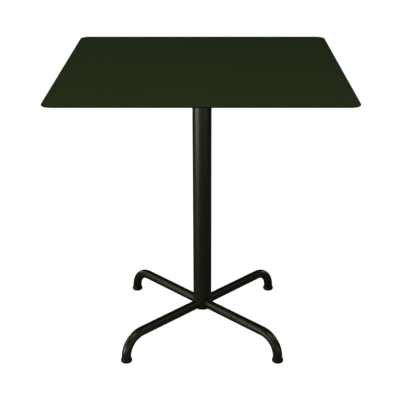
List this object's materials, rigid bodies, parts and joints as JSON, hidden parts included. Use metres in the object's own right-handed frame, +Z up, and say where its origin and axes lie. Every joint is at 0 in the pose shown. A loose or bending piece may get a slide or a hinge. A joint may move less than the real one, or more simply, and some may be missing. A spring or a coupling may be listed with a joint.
{
  "type": "bistro table",
  "caption": "Square bistro table: thin bevelled laminate top on a round steel column with bent tube legs and screw-adjusted levelling glides.",
  "frame": {"origin": "on the floor, at the centre of the column and of the top seen from above", "axes": "+Z up; the front edge of the top faces -Y, +X to the right seen from the front; the legs run along the diagonals"},
  "size_m": [0.7, 0.7, 0.74],
  "materials": {
    "laminate_green": "fine-textured dark green compact laminate with a black core edge",
    "powder_coat_green": "fine-textured satin dark green powder coat",
    "black_plastic": "moulded black polyamide, lightly grained",
    "zinc_steel": "bright zinc plate",
    "brass": "machined, dull"
  },
  "bodies": {
    "table": {"table_top": "laminate_green", "top_spider": "powder_coat_green", "top_screws": "zinc_steel", "screw_washers": "zinc_steel", "threaded_inserts": "brass", "column_tube": "powder_coat_green", "column_end_cap": "black_plastic", "glide_sleeves": "zinc_steel", "leg_front_left": "powder_coat_green", "foot_insert_front_left": "black_plastic", "leg_front_right": "powder_coat_green", "foot_insert_front_right": "black_plastic", "leg_rear_right": "powder_coat_green", "foot_insert_rear_right": "black_plastic", "leg_rear_left": "powder_coat_green", "foot_insert_rear_left": "black_plastic"},
    "pad_front_left": {"glide_pad_front_left": "black_plastic"},
    "stem_front_left": {"glide_stem_front_left": "zinc_steel"},
    "pad_front_right": {"glide_pad_front_right": "black_plastic"},
    "stem_front_right": {"glide_stem_front_right": "zinc_steel"},
    "pad_rear_right": {"glide_pad_rear_right": "black_plastic"},
    "stem_rear_right": {"glide_stem_rear_right": "zinc_steel"},
    "pad_rear_left": {"glide_pad_rear_left": "black_plastic"},
    "stem_rear_left": {"glide_stem_rear_left": "zinc_steel"}
  },
  "joints": [
    {"name": "glide_travel_front_left", "type": "slide", "parent": "table", "child": "pad_front_left", "axis": [0, 0, -1], "range_m": [0, 0.008]},
    {"name": "stem_turn_front_left", "type": "hinge", "parent": "pad_front_left", "child": "stem_front_left", "pos_m": [-0.1975, -0.1975, 0.02], "axis": [0, 0, -1], "range_deg": [0, 2303]},
    {"name": "glide_travel_front_right", "type": "slide", "parent": "table", "child": "pad_front_right", "axis": [0, 0, -1], "range_m": [0, 0.008]},
    {"name": "stem_turn_front_right", "type": "hinge", "parent": "pad_front_right", "child": "stem_front_right", "pos_m": [0.1975, -0.1975, 0.02], "axis": [0, 0, -1], "range_deg": [0, 2303]},
    {"name": "glide_travel_rear_right", "type": "slide", "parent": "table", "child": "pad_rear_right", "axis": [0, 0, -1], "range_m": [0, 0.008]},
    {"name": "stem_turn_rear_right", "type": "hinge", "parent": "pad_rear_right", "child": "stem_rear_right", "pos_m": [0.1975, 0.1975, 0.02], "axis": [0, 0, -1], "range_deg": [0, 2303]},
    {"name": "glide_travel_rear_left", "type": "slide", "parent": "table", "child": "pad_rear_left", "axis": [0, 0, -1], "range_m": [0, 0.008]},
    {"name": "stem_turn_rear_left", "type": "hinge", "parent": "pad_rear_left", "child": "stem_rear_left", "pos_m": [-0.1975, 0.1975, 0.02], "axis": [0, 0, -1], "range_deg": [0, 2303]}
  ],
  "couplings": [
    {"joint": "glide_travel_front_left", "follows": "stem_turn_front_left", "m_per_rad": 0.00019894},
    {"joint": "glide_travel_front_right", "follows": "stem_turn_front_right", "m_per_rad": 0.00019894},
    {"joint": "glide_travel_rear_right", "follows": "stem_turn_rear_right", "m_per_rad": 0.00019894},
    {"joint": "glide_travel_rear_left", "follows": "stem_turn_rear_left", "m_per_rad": 0.00019894}
  ]
}
